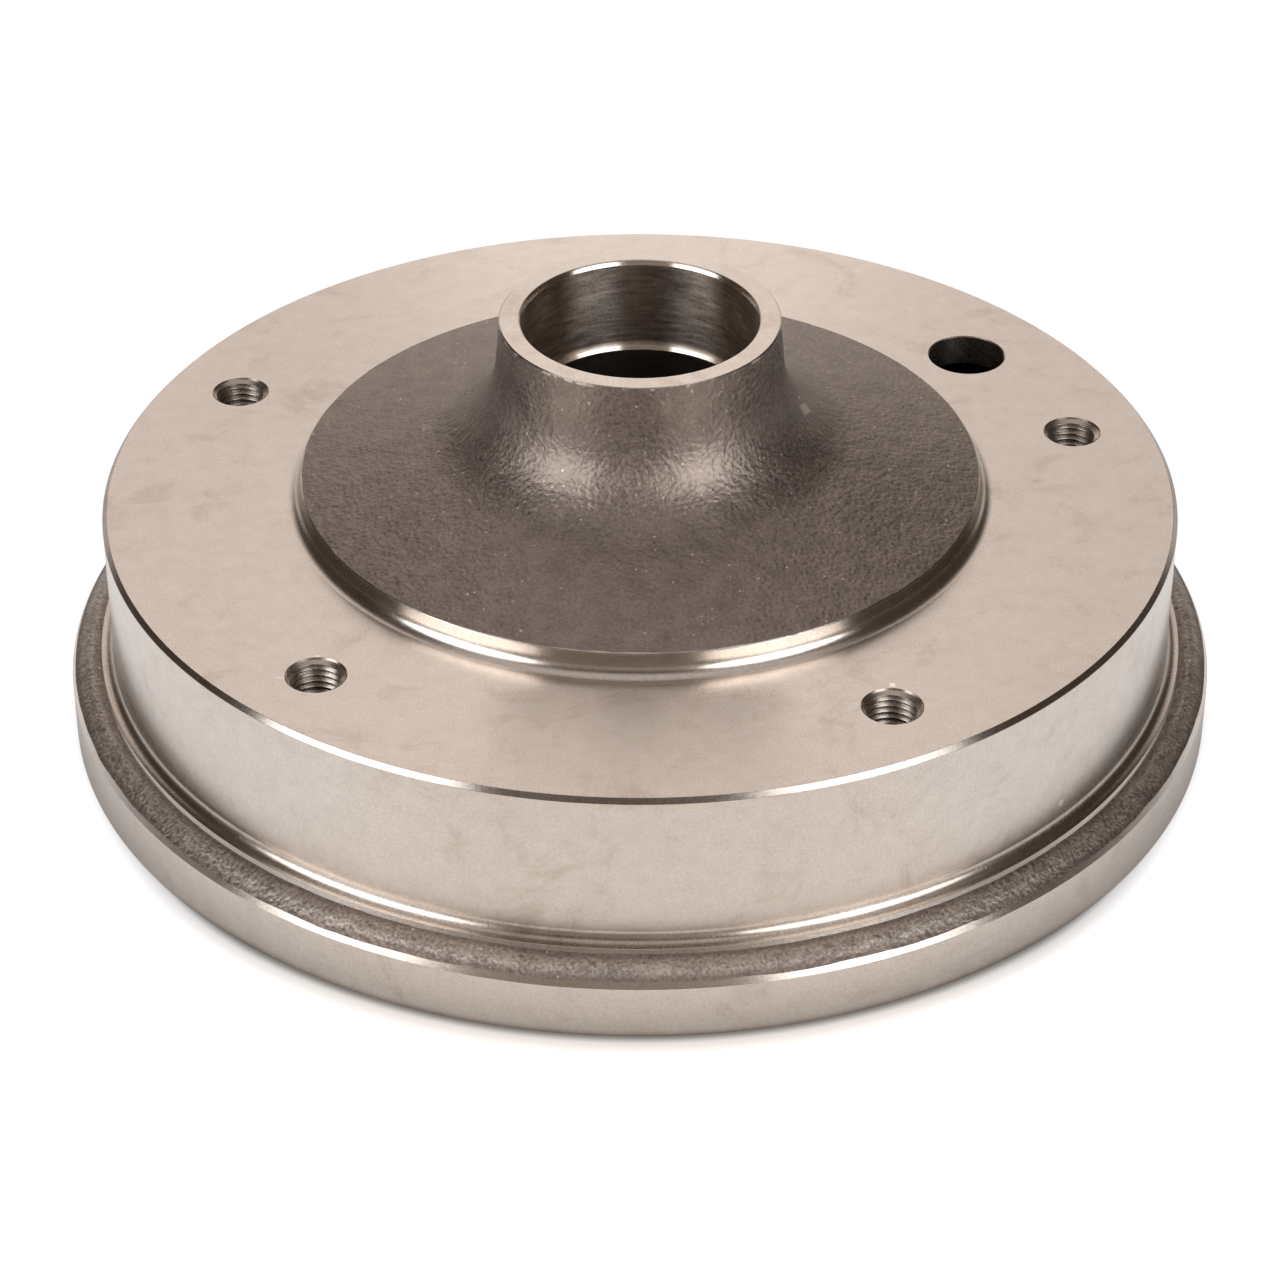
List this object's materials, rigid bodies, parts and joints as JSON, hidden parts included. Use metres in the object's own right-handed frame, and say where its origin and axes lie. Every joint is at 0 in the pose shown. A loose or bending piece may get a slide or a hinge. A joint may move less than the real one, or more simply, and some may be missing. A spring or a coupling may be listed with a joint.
{
  "type": "brake drum",
  "caption": "Cast-iron front brake drum with integral hub: flared cone and bored nose, flat wheel face with threaded bolt holes, straight barrel and stepped flange at the open rim.",
  "frame": {"origin": "centre of the open rim's plane, on the axle", "axes": "+Z along the axle towards the hub's nose; +X to the right of the picture, +Y away from the camera"},
  "size_m": [0.2618, 0.2618, 0.0956],
  "materials": {
    "grey_iron": "bare turned iron, with the hub cone and the flange ledge as cast"
  },
  "bodies": {
    "root": {"brake_drum": "grey_iron"}
  },
  "joints": []
}
